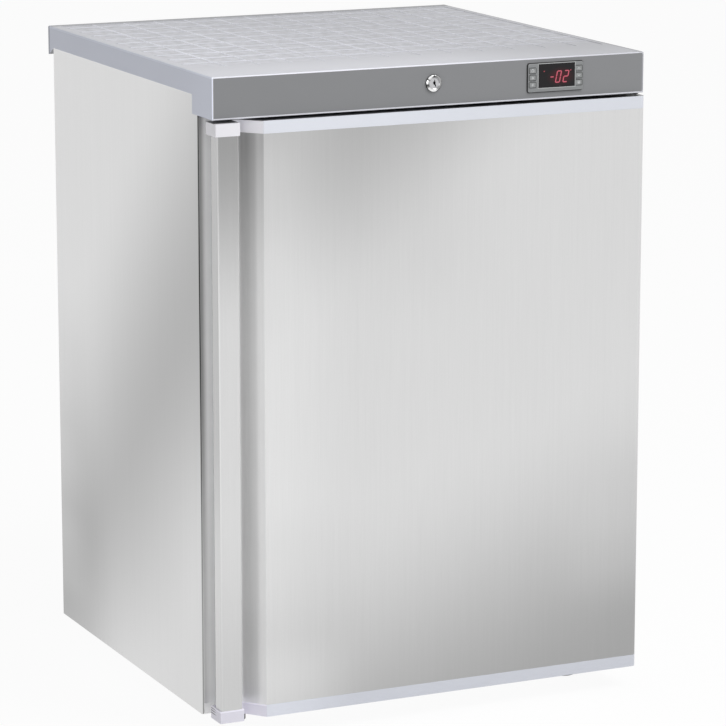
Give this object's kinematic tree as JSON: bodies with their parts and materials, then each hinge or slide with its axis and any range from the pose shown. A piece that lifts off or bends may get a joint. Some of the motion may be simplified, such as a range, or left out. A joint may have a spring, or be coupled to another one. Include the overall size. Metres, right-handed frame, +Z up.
{
  "type": "undercounter refrigerator",
  "caption": "Free-standing undercounter refrigerator with one solid stainless door hinged at the right, full-height grip at the left, grey fascia with lock and digital controller.",
  "frame": {"origin": "on the floor under the middle of the whole object's box", "axes": "+Z up, -Y out of the front, +X to the right seen from the front"},
  "size_m": [0.6, 0.593, 0.85],
  "materials": {
    "stainless": "vertically brushed",
    "handle_metal": "satin anodised",
    "galvanised": "galvanised sheet",
    "white_abs": "smooth moulded plastic",
    "worktop_plastic": "pale bluish grey moulding with a fine raised grid",
    "fascia_grey": "mid grey satin overlay",
    "controller_grey": "grey bezel",
    "display_black": "dark window with red figures",
    "chrome": "polished",
    "zinc_steel": "zinc plated",
    "foam": "rigid polyurethane foam",
    "gasket_rubber": "soft white PVC magnetic seal",
    "black_steel": "black enamel",
    "black_plastic": "black plastic",
    "black_rubber": "black rubber",
    "copper": "drawn copper",
    "evaporator_aluminium": "roll-bonded sheet",
    "shelf_white": "white plastic-coated wire",
    "bush_plastic": "nylon"
  },
  "bodies": {
    "cabinet": {"side_panel_left": "stainless", "side_panel_right": "stainless", "bottom_trim": "white_abs", "base_pan": "galvanised", "compartment_panel": "galvanised", "compressor_tray": "galvanised", "back_panel": "galvanised", "roof_panel": "galvanised", "inner_liner": "white_abs", "cabinet_foam": "foam", "worktop": "worktop_plastic", "fascia_panel": "fascia_grey", "controller_case": "controller_grey", "controller_lens": "display_black", "lock_housing": "chrome", "lock_nut": "zinc_steel", "hinge_bracket_top": "zinc_steel", "hinge_bracket_bottom": "zinc_steel", "hinge_screws": "zinc_steel", "shelf_lower": "shelf_white", "shelf_middle": "shelf_white", "shelf_upper": "shelf_white", "foot_inserts": "zinc_steel", "compressor_grommets": "black_rubber", "compressor": "black_steel", "relay_box": "black_plastic", "evaporation_pan": "black_plastic", "drain_tube": "bush_plastic", "cord_gland": "black_plastic", "condenser_tube": "black_steel", "condenser_wires": "black_steel", "condenser_clips": "black_plastic", "discharge_pipe": "copper", "filter_drier": "copper", "suction_pipe": "copper", "evaporator": "evaporator_aluminium", "fan_shroud": "white_abs", "fan_motor": "black_plastic"},
    "door": {"door_skin": "stainless", "handle_profile": "handle_metal", "door_cap_top": "white_abs", "door_cap_bottom": "white_abs", "door_foam": "foam", "door_liner": "white_abs", "gasket": "gasket_rubber", "hinge_bushes": "bush_plastic"},
    "lock": {"lock_plug": "chrome", "lock_cam": "zinc_steel"},
    "fan": {"fan_rotor": "black_plastic"},
    "key_left_top": {"key_left_top": "controller_grey"},
    "key_left_middle": {"key_left_middle": "controller_grey"},
    "key_left_bottom": {"key_left_bottom": "controller_grey"},
    "key_right_top": {"key_right_top": "controller_grey"},
    "key_right_middle": {"key_right_middle": "controller_grey"},
    "key_right_bottom": {"key_right_bottom": "controller_grey"},
    "foot_front_left": {"foot_front_left": "black_plastic"},
    "foot_front_right": {"foot_front_right": "black_plastic"},
    "foot_rear_left": {"foot_rear_left": "black_plastic"},
    "foot_rear_right": {"foot_rear_right": "black_plastic"}
  },
  "joints": [
    {"name": "door_hinge", "type": "hinge", "parent": "cabinet", "child": "door", "pos_m": [0.287, -0.2745, 0.425], "axis": [0, 0, 1], "range_deg": [0, 110]},
    {"name": "lock_turn", "type": "hinge", "parent": "cabinet", "child": "lock", "pos_m": [0, -0.2765, 0.826], "axis": [0, -1, 0], "range_deg": [0, 90]},
    {"name": "fan_spin", "type": "hinge", "parent": "cabinet", "child": "fan", "pos_m": [0, 0.1535, 0.711], "axis": [0, 1, 0], "continuous": true},
    {"name": "key_left_top_press", "type": "slide", "parent": "cabinet", "child": "key_left_top", "axis": [0, 1, 0], "range_m": [0, 0.0005], "stiffness_N_per_m": 1500},
    {"name": "key_left_middle_press", "type": "slide", "parent": "cabinet", "child": "key_left_middle", "axis": [0, 1, 0], "range_m": [0, 0.0005], "stiffness_N_per_m": 1500},
    {"name": "key_left_bottom_press", "type": "slide", "parent": "cabinet", "child": "key_left_bottom", "axis": [0, 1, 0], "range_m": [0, 0.0005], "stiffness_N_per_m": 1500},
    {"name": "key_right_top_press", "type": "slide", "parent": "cabinet", "child": "key_right_top", "axis": [0, 1, 0], "range_m": [0, 0.0005], "stiffness_N_per_m": 1500},
    {"name": "key_right_middle_press", "type": "slide", "parent": "cabinet", "child": "key_right_middle", "axis": [0, 1, 0], "range_m": [0, 0.0005], "stiffness_N_per_m": 1500},
    {"name": "key_right_bottom_press", "type": "slide", "parent": "cabinet", "child": "key_right_bottom", "axis": [0, 1, 0], "range_m": [0, 0.0005], "stiffness_N_per_m": 1500},
    {"name": "foot_front_left_height", "type": "slide", "parent": "cabinet", "child": "foot_front_left", "axis": [0, 0, 1], "range_m": [-0.012, 0]},
    {"name": "foot_front_right_height", "type": "slide", "parent": "cabinet", "child": "foot_front_right", "axis": [0, 0, 1], "range_m": [-0.012, 0]},
    {"name": "foot_rear_left_height", "type": "slide", "parent": "cabinet", "child": "foot_rear_left", "axis": [0, 0, 1], "range_m": [-0.012, 0]},
    {"name": "foot_rear_right_height", "type": "slide", "parent": "cabinet", "child": "foot_rear_right", "axis": [0, 0, 1], "range_m": [-0.012, 0]}
  ]
}
